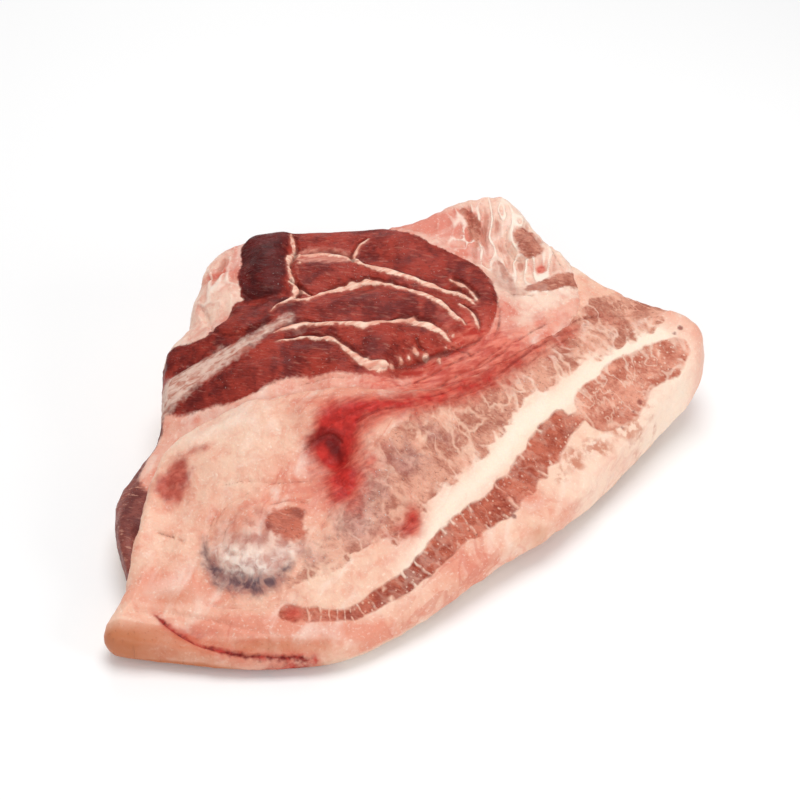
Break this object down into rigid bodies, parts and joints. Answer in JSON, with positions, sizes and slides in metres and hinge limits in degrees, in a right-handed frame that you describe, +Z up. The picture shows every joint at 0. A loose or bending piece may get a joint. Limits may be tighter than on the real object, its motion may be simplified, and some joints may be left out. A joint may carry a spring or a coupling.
{
  "type": "raw pork neck",
  "caption": "Raw skin-on pork neck: an uneven wedge of rind, fat and marbled lean with dark muscle lobes behind a raised flap of fat.",
  "frame": {"origin": "centre of the bounding box's bottom, on the surface that the rind lies on", "axes": "+X from the thin lip to the thick end, +Y from the bevelled cut face to the back, +Z up"},
  "size_m": [0.2736, 0.247, 0.0818],
  "materials": {
    "raw_pork": "wet raw fat and lean over smooth rind"
  },
  "bodies": {
    "root": {"pork_neck": "raw_pork"}
  },
  "joints": []
}
